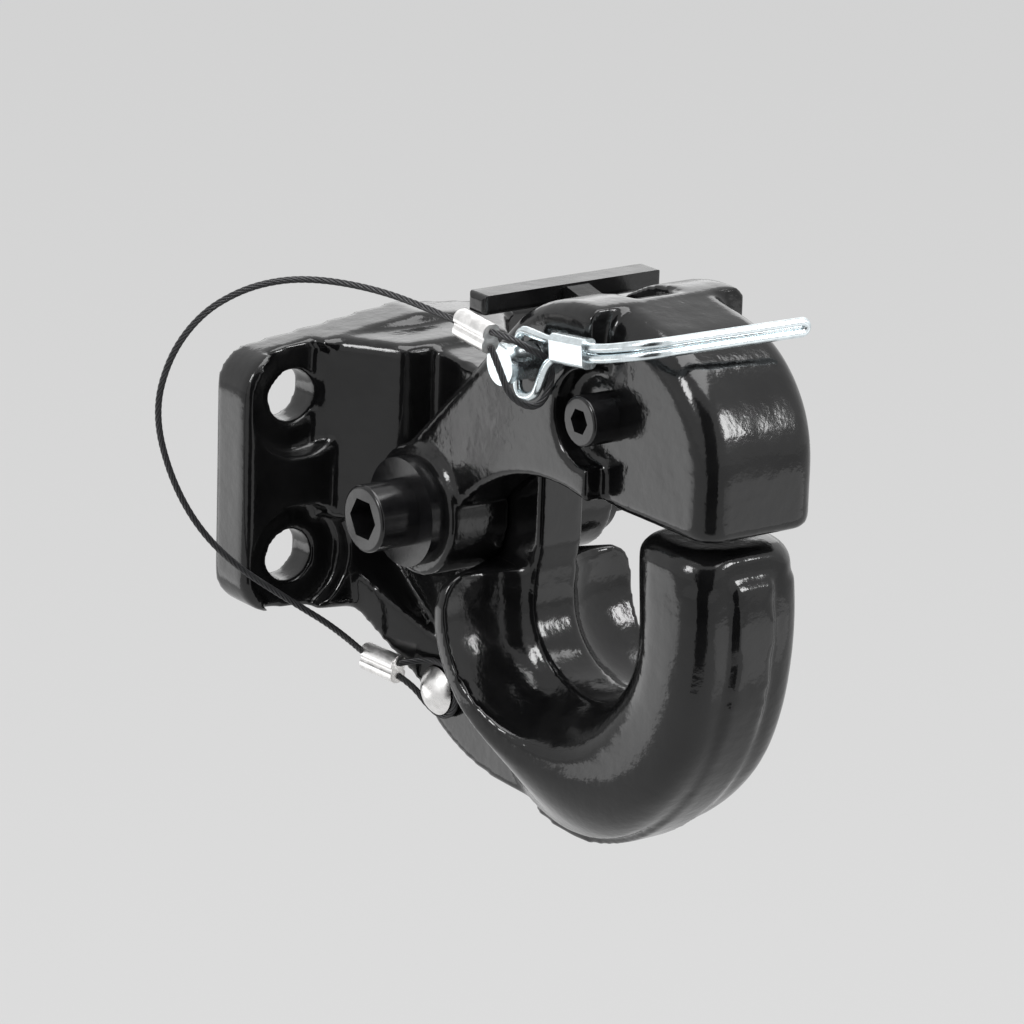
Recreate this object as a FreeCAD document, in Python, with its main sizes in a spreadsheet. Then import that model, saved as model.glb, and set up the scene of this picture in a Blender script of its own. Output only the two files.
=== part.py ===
import FreeCAD, Part
import Sketcher
import math
import os

V = FreeCAD.Vector
doc = FreeCAD.newDocument("PintleHook")

# Pintle hook, millimetres.  X runs forward from the back of the mounting plate,
# Y across the hook and Z up.  The origin is the centre of the four bolt holes.

SIZES = [
    ("plate_thick", 15.5, "mounting plate, thickness"),
    ("plate_half_width", 56.0, "mounting plate, half width"),
    ("plate_shoulder", 34.6, "height of the plate's corners above the middle"),
    ("plate_apex", 41.0, "height of the plate's gable at the middle"),
    ("plate_corner", 11.0, "corner radius of the plate"),
    ("plate_edge", 2.5, "rounding of the plate's front edge"),
    ("bolt_across", 38.1, "bolt hole, distance from the middle across"),
    ("bolt_up", 22.225, "bolt hole, distance from the middle up"),
    ("bolt_hole", 14.3, "bolt hole, diameter"),
    ("spot_wide", 31.0, "spot face round a bolt hole, diameter"),
    ("spot_deep", 5.4, "spot face, depth"),
    ("web_thick", 14.3, "web and post, thickness"),
    ("neck_top", 38.0, "top of the neck"),
    ("neck_root", 28.0, "half width of the neck at the plate"),
    ("neck_ridge", 17.2, "half width of the neck at its front ridge"),
    ("neck_front", 31.4, "front of the neck's ridge"),
    ("neck_low", 12.0, "depth of the neck below the middle"),
    ("post_front", 79.5, "front face of the post"),
    ("post_top", 35.0, "top of the post"),
    ("catch_low", 27.6, "height where the post's catch face begins"),
    ("catch_angle", 50.0, "slope of the catch face, degrees"),
    ("catch_gap", 0.9, "gap between the catch face and the latch toe"),
    ("pivot_x", 50.0, "jaw pivot, forward of the plate's back"),
    ("pivot_z", -0.5, "jaw pivot, height"),
    ("boss_radius", 17.5, "jaw's pivot boss, radius"),
    ("boss_gap", 0.8, "relief between the neck and the jaw's boss"),
    ("arm_half", 24.5, "jaw, half width over the cheeks"),
    ("boss_proud", 2.0, "how far the pivot boss stands out of a cheek"),
    ("cheek_step", 6.5, "step from a cheek in to the nose's flank"),
    ("slot_half", 8.0, "slot between the cheeks, half width"),
    ("nose_front", 161.0, "front of the nose"),
    ("nose_low", 17.6, "underside of the nose"),
    ("nose_crown", 69.5, "top of the jaw"),
    ("nose_bend", 33.8, "radius of the nose's front bend"),
    ("nose_rise", 33.0, "height where the nose's bend begins"),
    ("arm_front", 120.0, "front edge of the cheeks"),
    ("recess_radius", 12.7, "relief in the cheeks round the lever screw"),
    ("lever_x", 119.0, "lever pivot, forward of the plate's back"),
    ("lever_z", 40.8, "lever pivot, height"),
    ("lever_thick", 7.0, "lever, thickness"),
    ("lever_hub", 10.2, "lever hub, radius"),
    ("handle_x", 77.6, "handle bar, forward of the plate's back"),
    ("handle_z", 61.8, "handle bar, height"),
    ("handle_half", 28.4, "handle bar, half length"),
    ("handle_deep", 7.4, "handle bar, depth"),
    ("handle_tall", 5.4, "handle bar, height of its section"),
    ("pivot_shank", 12.0, "jaw pivot screw, shank diameter"),
    ("pivot_head", 18.0, "jaw pivot screw, head diameter"),
    ("pivot_head_tall", 12.0, "jaw pivot screw, head height"),
    ("pivot_key", 10.0, "jaw pivot screw, key size"),
    ("pivot_nut_wide", 18.0, "jaw pivot nut, width across flats"),
    ("pivot_nut_tall", 10.8, "jaw pivot nut, height"),
    ("washer_wide", 29.0, "pivot washer, diameter"),
    ("washer_thick", 4.0, "pivot washer, thickness"),
    ("pivot_bush_wide", 17.0, "jaw pivot bush, outer diameter"),
    ("lever_shank", 8.0, "lever screw, shank diameter"),
    ("lever_head", 13.0, "lever screw, head diameter"),
    ("lever_head_tall", 8.0, "lever screw, head height"),
    ("lever_key", 6.0, "lever screw, key size"),
    ("lever_nut_wide", 13.0, "lever nut, width across flats"),
    ("lever_nut_tall", 6.8, "lever nut, height"),
    ("lever_bush_wide", 12.0, "lever bush, outer diameter"),
    ("spring_wire", 1.4, "lever spring, wire diameter"),
    ("spring_radius", 7.4, "lever spring, coil radius"),
    ("spring_turns", 1.75, "lever spring, turns"),
    ("pin_x", 97.0, "lock pin, forward of the plate's back"),
    ("pin_z", 51.4, "lock pin, height"),
    ("pin_wide", 7.6, "lock pin, diameter"),
    ("window_gap", 0.9, "room between the pin and the lever's window"),
    ("pin_head", 9.4, "lock pin, head diameter"),
    ("pin_head_tall", 8.0, "lock pin, length of the head"),
    ("pin_flange", 10.8, "lock pin, diameter of the outer flange"),
    ("pin_flange_tall", 1.8, "lock pin, thickness of the flange"),
    ("pin_tail", 30.0, "lock pin, reach of its tail past the middle"),
    ("bail_wire", 2.4, "bail, wire diameter"),
    ("bail_sleeve_long", 15.0, "bail's crimped sleeve, length"),
    ("bail_sleeve_tall", 7.6, "bail's crimped sleeve, height"),
    ("bail_sleeve_thick", 4.6, "bail's crimped sleeve, thickness"),
    ("rivet_x", 40.0, "tether rivet, forward of the plate's back"),
    ("rivet_z", -56.5, "tether rivet, height"),
    ("rivet_head", 13.3, "tether rivet, head diameter"),
    ("rivet_dome", 3.4, "tether rivet, height of the dome"),
    ("rivet_shank", 6.0, "tether rivet, shank diameter"),
    ("rivet_stand", 3.0, "room for the wire loop under the rivet's head"),
    ("rope_wide", 1.8, "wire rope, diameter"),
    ("ferrule_long", 12.8, "crimp ferrule, length"),
    ("ferrule_tall", 7.6, "crimp ferrule, height"),
    ("ferrule_thick", 5.2, "crimp ferrule, thickness"),
    ("run_fit", 0.05, "running fit, clearance on the radius"),
    ("free_gap", 0.3, "free clearance beside a moving face"),
]

sheet = doc.addObject("Spreadsheet::Sheet", "sizes")
for row, (name, value, note) in enumerate(SIZES, start=1):
    sheet.set("A%d" % row, note)
    sheet.set("B%d" % row, str(value))
    sheet.setAlias("B%d" % row, name)
doc.recompute()


class Size:
    """A number together with the sheet formula that gives it."""

    def __init__(self, value, text):
        self.value = float(value)
        self.text = text

    def __add__(self, other):
        return join(self, "+", other)

    def __radd__(self, other):
        return join(other, "+", self)

    def __sub__(self, other):
        return join(self, "-", other)

    def __rsub__(self, other):
        return join(other, "-", self)

    def __mul__(self, other):
        return join(self, "*", other)

    def __rmul__(self, other):
        return join(other, "*", self)

    def __truediv__(self, other):
        return join(self, "/", other)

    def __neg__(self):
        return Size(-self.value, "(-1 * %s)" % self.text)


def as_size(value):
    return value if isinstance(value, Size) else Size(value, "(%s)" % repr(float(value)))


def join(left, sign, right):
    left = as_size(left)
    right = as_size(right)
    results = {
        "+": lambda a, b: a + b,
        "-": lambda a, b: a - b,
        "*": lambda a, b: a * b,
        "/": lambda a, b: a / b,
    }
    return Size(results[sign](left.value, right.value), "(%s %s %s)" % (left.text, sign, right.text))


class Names:
    pass


s = Names()
for name, value, note in SIZES:
    setattr(s, name, Size(sheet.get(name), "<<sizes>>.%s" % name))
sheet.Label = "sizes"
s.boss_half = s.arm_half + s.boss_proud
s.nose_half = s.arm_half - s.cheek_step


def bind(item, prop, size):
    """Ties a property to its formula in the sheet."""
    size = as_size(size)
    item.setExpression(prop, size.text)


def place(item, x, y, z, turn=None):
    """Ties the item's place to the sheet, with an optional turn (axis, degrees)."""
    if turn is not None:
        item.Placement = FreeCAD.Placement(V(0, 0, 0), FreeCAD.Rotation(turn[0], turn[1]))
    for axis, size in (("x", x), ("y", y), ("z", z)):
        bind(item, "Placement.Base." + axis, size)
    return item


ACROSS = (V(1, 0, 0), 90)


def cylinder(name, width, length, x, y, z, turn=ACROSS):
    """A cylinder that starts at x, y, z and runs towards -Y."""
    item = doc.addObject("Part::Cylinder", name)
    bind(item, "Radius", as_size(width) / 2)
    bind(item, "Height", length)
    return place(item, x, y, z, turn)


def hexagon(name, flats, length, x, y, z):
    """A hexagonal prism that starts at x, y, z and runs towards -Y."""
    item = doc.addObject("Part::Prism", name)
    item.Polygon = 6
    bind(item, "Circumradius", as_size(flats) / (2 * math.cos(math.pi / 6)))
    bind(item, "Height", length)
    return place(item, x, y, z, ACROSS)


def fuse(name, shapes):
    item = doc.addObject("Part::MultiFuse", name)
    item.Shapes = shapes
    return item


def cut(name, base, tool):
    item = doc.addObject("Part::Cut", name)
    item.Base = base
    item.Tool = tool
    return item


def plane_of(body, role):
    return [item for item in body.Origin.OriginFeatures if item.Role == role][0]


def outline(body, name, role, corners):
    """A closed sketch.  A corner is (across, up) or (across, up, radius): the radius bends
    the side that leads to the next corner, to the left where it is positive."""
    sketch = body.newObject("Sketcher::SketchObject", name)
    sketch.AttachmentSupport = [(plane_of(body, role), "")]
    sketch.MapMode = "FlatFace"
    count = len(corners)
    points = [V(as_size(c[0]).value, as_size(c[1]).value, 0) for c in corners]
    ends = []
    for i in range(count):
        first = points[i]
        last = points[(i + 1) % count]
        if len(corners[i]) == 2:
            sketch.addGeometry(Part.LineSegment(first, last), False)
            ends.append((1, 2))
            continue
        bend = as_size(corners[i][2]).value
        chord = last - first
        left = V(-chord.y, chord.x, 0).normalize()
        rise = math.sqrt(bend * bend - chord.Length ** 2 / 4)
        side = 1 if bend > 0 else -1
        centre = (first + last) * 0.5 + left * rise * side
        begin = math.atan2(first.y - centre.y, first.x - centre.x)
        end = math.atan2(last.y - centre.y, last.x - centre.x)
        circle = Part.Circle(centre, V(0, 0, 1), abs(bend))
        if side > 0:
            sketch.addGeometry(Part.ArcOfCircle(circle, begin, end), False)
            ends.append((1, 2))
        else:
            sketch.addGeometry(Part.ArcOfCircle(circle, end, begin), False)
            ends.append((2, 1))
    for i in range(count):
        after = (i + 1) % count
        sketch.addConstraint(Sketcher.Constraint("Coincident", i, ends[i][1], after, ends[after][0]))
    for i in range(count):
        for kind, size in (("DistanceX", corners[i][0]), ("DistanceY", corners[i][1])):
            size = as_size(size)
            if abs(size.value) < 1e-9:
                axis = -2 if kind == "DistanceX" else -1
                sketch.addConstraint(Sketcher.Constraint("PointOnObject", i, ends[i][0], axis))
                continue
            if size.value > 0:
                rule = Sketcher.Constraint(kind, -1, 1, i, ends[i][0], size.value)
            else:
                rule = Sketcher.Constraint(kind, i, ends[i][0], -1, 1, -size.value)
                size = -size
            number = sketch.addConstraint(rule)
            bind(sketch, "Constraints[%d]" % number, size)
        if len(corners[i]) == 3:
            bend = as_size(corners[i][2])
            number = sketch.addConstraint(Sketcher.Constraint("Radius", i, abs(bend.value)))
            bind(sketch, "Constraints[%d]" % number, bend if bend.value > 0 else -bend)
    return sketch


def circles(body, name, role, rounds):
    """A sketch of circles, each (across, up, diameter)."""
    sketch = body.newObject("Sketcher::SketchObject", name)
    sketch.AttachmentSupport = [(plane_of(body, role), "")]
    sketch.MapMode = "FlatFace"
    for i, (across, up, width) in enumerate(rounds):
        across, up, width = as_size(across), as_size(up), as_size(width)
        centre = V(across.value, up.value, 0)
        sketch.addGeometry(Part.Circle(centre, V(0, 0, 1), width.value / 2), False)
        number = sketch.addConstraint(Sketcher.Constraint("Radius", i, width.value / 2))
        bind(sketch, "Constraints[%d]" % number, width / 2)
        for kind, size in (("DistanceX", across), ("DistanceY", up)):
            if size.value > 0:
                rule = Sketcher.Constraint(kind, -1, 1, i, 3, size.value)
            else:
                rule = Sketcher.Constraint(kind, i, 3, -1, 1, -size.value)
                size = -size
            number = sketch.addConstraint(rule)
            bind(sketch, "Constraints[%d]" % number, size)
    return sketch


def pad(body, name, sketch, length, both=True, offset=None):
    item = body.newObject("PartDesign::Pad", name)
    item.Profile = sketch
    item.SideType = "Symmetric" if both else "One side"
    bind(item, "Length", length)
    if offset is not None:
        bind(sketch, "AttachmentOffset.Base.z", offset)
    return item


def pocket(body, name, sketch, length, both=True, offset=None, reverse=False):
    before = body.Shape.Volume
    item = body.newObject("PartDesign::Pocket", name)
    item.Profile = sketch
    item.SideType = "Symmetric" if both else "One side"
    item.Reversed = reverse
    bind(item, "Length", length)
    if offset is not None:
        bind(sketch, "AttachmentOffset.Base.z", offset)
    doc.recompute()
    if item.Shape.Volume > before - 1:
        raise RuntimeError(name + " removes nothing")
    return item


def round_edges(body, name, base, radius, wanted):
    """Rounds the edges of base whose middle point passes the test."""
    doc.recompute()
    names = []
    for i, edge in enumerate(base.Shape.Edges, start=1):
        if wanted(edge):
            names.append("Edge%d" % i)
    item = body.newObject("PartDesign::Fillet", name)
    item.Base = (base, names)
    bind(item, "Radius", radius)
    doc.recompute()
    print(name, len(names), "edges")
    return item


def middle(edge):
    first, last = edge.ParameterRange
    return edge.valueAt((first + last) / 2)


# Mounting plate: a slab with a low gable above and below, four bolt holes in
# spot faces, and a rounded front edge.
plate = doc.addObject("PartDesign::Body", "plate")
edge_points = [
    (s.plate_half_width, s.plate_shoulder),
    (0, s.plate_apex),
    (-s.plate_half_width, s.plate_shoulder),
    (-s.plate_half_width, -s.plate_shoulder),
    (0, -s.plate_apex),
    (s.plate_half_width, -s.plate_shoulder),
]
plate_pad = pad(plate, "plate_pad", outline(plate, "plate_outline", "YZ_Plane", edge_points), s.plate_thick, False)
corners = round_edges(
    plate, "plate_corners", plate_pad, s.plate_corner,
    lambda e: abs(e.BoundBox.XLength - s.plate_thick.value) < 0.01 and abs(middle(e).y) > 1,
)
front = round_edges(
    plate, "plate_front_edge", corners, s.plate_edge,
    lambda e: e.BoundBox.XMin > s.plate_thick.value - 0.01,
)
rounds = [(a * s.bolt_across, b * s.bolt_up) for a in (-1, 1) for b in (-1, 1)]
spots = circles(plate, "spot_circles", "YZ_Plane", [(a, b, s.spot_wide) for a, b in rounds])
spot_cut = pocket(plate, "spot_faces", spots, s.spot_deep, False, s.plate_thick)
holes = circles(plate, "hole_circles", "YZ_Plane", [(a, b, s.bolt_hole) for a, b in rounds])
hole_cut = pocket(plate, "bolt_holes", holes, 2 * s.plate_thick + 2, True)

# Web and post: one flat slab in the middle plane, from the plate to the post that
# closes the throat behind, with the slanted catch face at its top.
web = doc.addObject("PartDesign::Body", "web")
catch_rise = s.post_top - s.catch_low
catch_back = catch_rise * (1 / math.tan(math.radians(s.catch_angle.value)))
web_corners = [
    (s.plate_thick - 6, s.neck_top - 1),
    (s.plate_thick - 6, -s.plate_apex + 4),
    (s.plate_thick + 6.5, -53.0),
    (36.0, -67.0, 60.0),
    (66.0, -75.2),
    (90.0, -76.5),
    (94.0, -60.0),
    (88.0, -46.0),
    (79.0, -38.0),
    (74.5, -30.0),
    (73.5, -20.0),
    (s.post_front - 3.6, -13.0),
    (s.post_front - 1.9, -13.0),
    (s.post_front, -6.0),
    (s.post_front, s.catch_low),
    (s.post_front - catch_back, s.post_top),
    (46.0, s.post_top),
    (s.neck_front, s.neck_top - 2),
]
web_pad = pad(web, "web_pad", outline(web, "web_outline", "XZ_Plane", web_corners), s.web_thick)

# Neck: a flared block between the plate and the web, with a ridge at its front.
neck = doc.addObject("PartDesign::Body", "neck")
neck_corners = [
    (s.plate_thick - 4, s.neck_root + 2.7),
    (s.plate_thick - 4, -s.neck_root - 2.7),
    (s.neck_front, -s.neck_ridge),
    (s.neck_front + 0.4, -s.web_thick / 2 + 0.5),
    (s.neck_front + 0.4, s.web_thick / 2 - 0.5),
    (s.neck_front, s.neck_ridge),
]
neck_sketch = outline(neck, "neck_outline", "XY_Plane", neck_corners)
neck_pad = pad(neck, "neck_pad", neck_sketch, s.neck_top + s.neck_low, False, -s.neck_low)
neck_round = round_edges(
    neck, "neck_ridge_round", neck_pad, 3.2,
    lambda e: e.BoundBox.ZLength > 20 and abs(e.BoundBox.XMin - s.neck_front.value) < 0.01
    and abs(abs(middle(e).y) - s.neck_ridge.value) < 0.01,
)
neck_crown = round_edges(
    neck, "neck_crown_round", neck_round, 3.0,
    lambda e: e.BoundBox.ZMin > s.neck_top.value - 0.01 and abs(middle(e).y) > s.web_thick.value / 2
    and e.BoundBox.XMax > s.plate_thick.value,
)


def solid_feature(name, shape):
    item = doc.addObject("Part::Feature", name)
    item.Shape = shape
    item.Placement = FreeCAD.Placement()
    return item


def polygon(points):
    return Part.makePolygon(points + points[:1])


# Strut: the lower gusset, wide at the plate and narrow where it runs into the web.
strut_back = [V(12, -23.5, -25), V(12, 23.5, -25), V(12, 20, -37.8), V(12, -20, -37.8)]
strut_front = [V(44, -6, -46), V(44, 6, -46), V(44, 6, -66), V(44, -6, -66)]
strut = solid_feature("strut", Part.makeLoft([polygon(strut_back), polygon(strut_front)], True, True))


# Horn: sections square to the throat, lofted from the saddle behind the post, under the
# throat and up to the tip.  Each row: inner point x, z; direction of the section in
# degrees; depth; half width; depth to the rim's front and back; half width at the keel;
# how far the flank between throat band and rim is dished (0 is a round flank).
HORN = [
    (77.6, -13.0, 180, 19.0, 25.0, 6.6, 9.6, 8.0, 1.0),
    (77.2, -18.0, 183, 19.5, 30.4, 6.4, 10.8, 8.0, 1.0),
    (77.3, -24.0, 192, 21.0, 31.0, 6.2, 11.0, 8.0, 1.0),
    (79.6, -30.0, 206, 24.0, 31.0, 6.2, 11.2, 8.0, 1.0),
    (84.4, -35.3, 226, 30.0, 30.6, 6.6, 12.0, 8.0, 0.95),
    (92.0, -39.0, 246, 36.4, 28.4, 8.2, 14.2, 8.5, 0.8),
    (102.0, -40.3, 264, 37.2, 24.8, 10.6, 16.6, 9.5, 0.5),
    (111.0, -38.6, 283, 35.4, 21.8, 12.6, 18.0, 10.0, 0.2),
    (119.0, -33.2, 305, 33.2, 19.8, 14.0, 18.6, 10.0, 0.0),
    (124.6, -25.0, 326, 32.4, 18.6, 14.6, 18.6, 10.0, 0.0),
    (127.0, -15.0, 346, 31.6, 18.3, 14.8, 18.4, 10.0, 0.0),
    (126.4, -4.0, 359, 32.4, 18.1, 15.0, 18.6, 10.0, 0.0),
    (125.6, 5.0, 364, 32.2, 17.8, 14.8, 18.2, 10.0, 0.0),
    (126.0, 13.4, 364, 31.4, 17.4, 14.4, 17.6, 10.0, 0.0),
]
BAND = s.web_thick.value / 2


def horn_section(row):
    x, z, angle, depth, wide, rim_front, rim_back, keel, dish = row
    away = V(math.cos(math.radians(angle)), 0, math.sin(math.radians(angle)))
    inner = V(x, 0, z)

    def at(across, deep):
        return inner + V(0, across, 0) + away * deep

    def blend(flat, hollow):
        return flat + (hollow - flat) * dish

    edges = []

    def bezier(side, poles):
        curve = Part.BezierCurve()
        curve.setPoles([at(side * a, b) for a, b in poles])
        edges.append(curve.toShape())

    flank = [
        (BAND, 0),
        (BAND + blend(5.6, 1.6), blend(1.6, 6.4)),
        (wide - blend(0.2, 9.0), rim_front - blend(7.4, -2.6)),
        (wide, rim_front),
    ]
    rim = [(wide, rim_front), (wide, rim_front * 0.67 + rim_back * 0.33),
           (wide, rim_front * 0.33 + rim_back * 0.67), (wide, rim_back)]
    reach = depth - rim_back
    lower = [
        (wide, rim_back),
        (wide - blend(0.0, 4.0), rim_back + blend(0.62, 0.12) * reach),
        (keel + blend(6.5, 4.0), depth - blend(0.6, 0.55 * reach)),
        (keel, depth),
    ]
    edges.append(Part.LineSegment(at(-BAND, 0), at(BAND, 0)).toShape())
    bezier(1, flank)
    bezier(1, rim)
    bezier(1, lower)
    edges.append(Part.LineSegment(at(keel, depth), at(-keel, depth)).toShape())
    bezier(-1, lower[::-1])
    bezier(-1, rim[::-1])
    bezier(-1, flank[::-1])
    return Part.Wire(edges)


horn_loft = Part.makeLoft([horn_section(row) for row in HORN], True, False)
print("horn", horn_loft.isValid(), horn_loft.Volume)
horn = solid_feature("horn", horn_loft)
doc.recompute()
def keel_wire(points, inward):
    """Closed outline in the middle plane from an outer line and the same line set inward."""
    outer = Part.BSplineCurve()
    outer.interpolate([V(x, -KEEL_HALF, z) for x, z in points])
    centre = V(104, -KEEL_HALF, -20)
    inner_points = []
    for x, z in reversed(points):
        to = (centre - V(x, -KEEL_HALF, z)).normalize()
        inner_points.append(V(x, -KEEL_HALF, z) + to * inward)
    inner = Part.BSplineCurve()
    inner.interpolate(inner_points)
    first = Part.LineSegment(V(points[-1][0], -KEEL_HALF, points[-1][1]), inner_points[0])
    last = Part.LineSegment(inner_points[-1], V(points[0][0], -KEEL_HALF, points[0][1]))
    return Part.Wire([outer.toShape(), first.toShape(), inner.toShape(), last.toShape()])


# Keel: the narrow rib round the outside of the horn, stepped where it starts.
KEEL = [(79, -78.6), (88, -80.6), (97, -81.2), (108, -79.2), (122, -73.6), (136, -63.6), (147.4, -51.0),
        (155, -37.0), (159.2, -24.4), (160.6, -12.0), (160.4, -1.0), (159.4, 5.0)]
KEEL_HALF = 5.6
keel_face = Part.Face(keel_wire(KEEL, 9.0))
keel = solid_feature("keel", keel_face.extrude(V(0, 2 * KEEL_HALF, 0)))


# Tip: the horn's top is domed by a rounded block as wide as the horn.
TIP_BACK, TIP_FRONT, TIP_HALF, TIP_TOP = 125.3, 159.6, 18.2, 13.4
block = Part.makeBox(TIP_FRONT - TIP_BACK, 2 * TIP_HALF, 40, V(TIP_BACK, -TIP_HALF, TIP_TOP - 40))
block = block.makeFillet(14.0, [e for e in block.Edges if e.BoundBox.ZLength > 39])
block = block.makeFillet(6.8, [e for e in block.Edges if e.BoundBox.ZMin > TIP_TOP - 0.01])
around = Part.makeBox(60, 60, 30, V(112, -30, 4.0))
tip_tool = solid_feature("tip_tool", around.cut(block))
tip = cut("horn_tip", horn, tip_tool)
doc.recompute()
print("tip", tip.Shape.isValid(), tip.Shape.Volume)

casting = fuse("casting", [plate, web, neck, strut, tip, keel])
relief_wide = 2 * s.boss_radius + 2 * s.boss_gap
relief_long = 60.0
relief_near = cylinder("relief_near", relief_wide, relief_long, s.pivot_x, -s.web_thick / 2 - 0.45, s.pivot_z)
relief_far = cylinder(
    "relief_far", relief_wide, relief_long, s.pivot_x, s.web_thick / 2 + 0.45 + relief_long, s.pivot_z
)
bush_bore = cylinder("bush_bore", s.pivot_bush_wide, 40.0, s.pivot_x, 20.0, s.pivot_z)
rivet_bore = cylinder("rivet_bore", s.rivet_shank + 2 * s.run_fit, 60.0, s.rivet_x, 30.0, s.rivet_z)
hook_body = cut("hook_body", casting, fuse("hook_bores", [relief_near, relief_far, bush_bore, rivet_bore]))
doc.recompute()
print("hook_body", hook_body.Shape.isValid(), hook_body.Shape.Volume, len(hook_body.Shape.Solids))

# Upper jaw: two cheeks with a boss at the pivot, joined in front by the nose, with a
# slot for the latch between them.
jaw = doc.addObject("PartDesign::Body", "upper_jaw")
nose_corners = [
    (100.0, 24.0),
    (s.arm_front - 1, s.nose_low + 0.6),
    (s.arm_front + 5, s.nose_low),
    (s.nose_front, s.nose_low),
    (s.nose_front, s.nose_rise, s.nose_bend),
    (s.nose_front - s.nose_bend * 0.792088, s.nose_rise + s.nose_bend * 0.978148),
    (118.0, s.nose_crown),
    (104.0, 66.0),
]
nose = pad(jaw, "nose", outline(jaw, "nose_outline", "XZ_Plane", nose_corners), 2 * s.nose_half)
doc.recompute()
print("jaw", jaw.Shape.isValid(), jaw.Shape.Volume)
nose_round = round_edges(
    jaw, "nose_front_round", nose, 7.0,
    lambda e: abs(abs(middle(e).y) - s.nose_half.value) < 0.01 and (
        abs(middle(e).x - s.nose_front.value) < 0.01 or (middle(e).x > 133 and middle(e).z > 40)),
)
print("jaw", jaw.Shape.isValid(), jaw.Shape.Volume)
nose_low_round = round_edges(
    jaw, "nose_low_round", nose_round, 3.0,
    lambda e: abs(middle(e).z - s.nose_low.value) < 0.01 and middle(e).x > s.arm_front.value + 6
    and e.BoundBox.XMax > s.nose_front.value - 8,
)
print("jaw", jaw.Shape.isValid(), jaw.Shape.Volume)
arm_corners = [
    (s.pivot_x - 12.1, s.pivot_z + 12.6),
    (s.pivot_x - 2, s.pivot_z - 4),
    (s.pivot_x + 12.9, s.pivot_z + 0.4, -54.6),
    (s.arm_front + 0.3, s.nose_low + 1.9),
    (s.arm_front, s.nose_crown - 0.2, 42.0),
    (89.0, 60.5),
]
arms = pad(jaw, "arms", outline(jaw, "arm_outline", "XZ_Plane", arm_corners), 2 * s.arm_half)
arm_round = round_edges(
    jaw, "arm_round", arms, 4.0,
    lambda e: abs(abs(middle(e).y) - s.arm_half.value) < 0.01 and middle(e).z > 30
    and abs(middle(e).x - s.arm_front.value) > 1,
)
arch_round = round_edges(
    jaw, "arch_round", arm_round, 1.8,
    lambda e: abs(abs(middle(e).y) - s.arm_half.value) < 0.01 and e.Length > 50
    and middle(e).z < 30,
)
print("arms", jaw.Shape.isValid(), jaw.Shape.Volume)
boss_sketch = circles(jaw, "boss_circle", "XZ_Plane", [(s.pivot_x, s.pivot_z, 2 * s.boss_radius)])
boss = pad(jaw, "boss", boss_sketch, 2 * s.boss_half)
doc.recompute()
print("jaw", jaw.Shape.isValid(), jaw.Shape.Volume)
slot_corners = [
    (20.0, s.pivot_z - 30),
    (s.pivot_x + 38, s.pivot_z - 30),
    (s.pivot_x + 42.5, s.nose_low + 8),
    (s.lever_x + s.lever_hub + 2, s.nose_low + 8),
    (s.lever_x + s.lever_hub + 2, s.nose_crown + 10),
    (20.0, s.nose_crown + 10),
]
slot = pocket(jaw, "slot", outline(jaw, "slot_outline", "XZ_Plane", slot_corners), 2 * s.slot_half)
recess = circles(jaw, "recess_circle", "XZ_Plane", [(s.lever_x, s.lever_z, 2 * s.recess_radius)])
recess_near = pocket(jaw, "recess_near", recess, 20, False, s.nose_half, True)
recess_b = circles(jaw, "recess_circle_b", "XZ_Plane", [(s.lever_x, s.lever_z, 2 * s.recess_radius)])
recess_far = pocket(jaw, "recess_far", recess_b, 20, False, -s.nose_half, False)
bores = circles(jaw, "bore_circles", "XZ_Plane", [
    (s.pivot_x, s.pivot_z, s.pivot_shank + 2 * s.run_fit),
    (s.lever_x, s.lever_z, s.lever_shank + 2 * s.run_fit),
    (s.pin_x, s.pin_z, s.pin_wide + 2 * s.run_fit),
])
jaw_bores = pocket(jaw, "jaw_bores", bores, 80)
print("jaw", jaw.Shape.isValid(), jaw.Shape.Volume, len(jaw.Shape.Solids))

# Jaw pivot: socket screw, nut and washers, and the bush pressed into the web.
screw_start = s.boss_half + s.washer_thick
screw_end = screw_start + s.pivot_nut_tall + 2
pivot_shank = cylinder("pivot_shank", s.pivot_shank, screw_start + screw_end, s.pivot_x, screw_end, s.pivot_z)
pivot_head = cylinder("pivot_head", s.pivot_head, s.pivot_head_tall, s.pivot_x, -screw_start, s.pivot_z)
pivot_key = hexagon("pivot_key", s.pivot_key, 7.0, s.pivot_x, -screw_start - s.pivot_head_tall + 6, s.pivot_z)
pivot_blank = cut("pivot_blank", fuse("pivot_stock", [pivot_shank, pivot_head]), pivot_key)


def break_edges(name, base, radius, wanted):
    """Rounds the edges of base whose middle point passes the test."""
    doc.recompute()
    item = doc.addObject("Part::Fillet", name)
    item.Base = base
    numbers = [i for i, e in enumerate(base.Shape.Edges, start=1) if wanted(e)]
    item.Edges = [(i, radius, radius) for i in numbers]
    doc.recompute()
    print(name, len(numbers), "edges")
    return item


def rim_at(y):
    return lambda e: abs(e.BoundBox.YMin - y) < 0.01 and abs(e.BoundBox.YMax - y) < 0.01 and e.Closed


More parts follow.
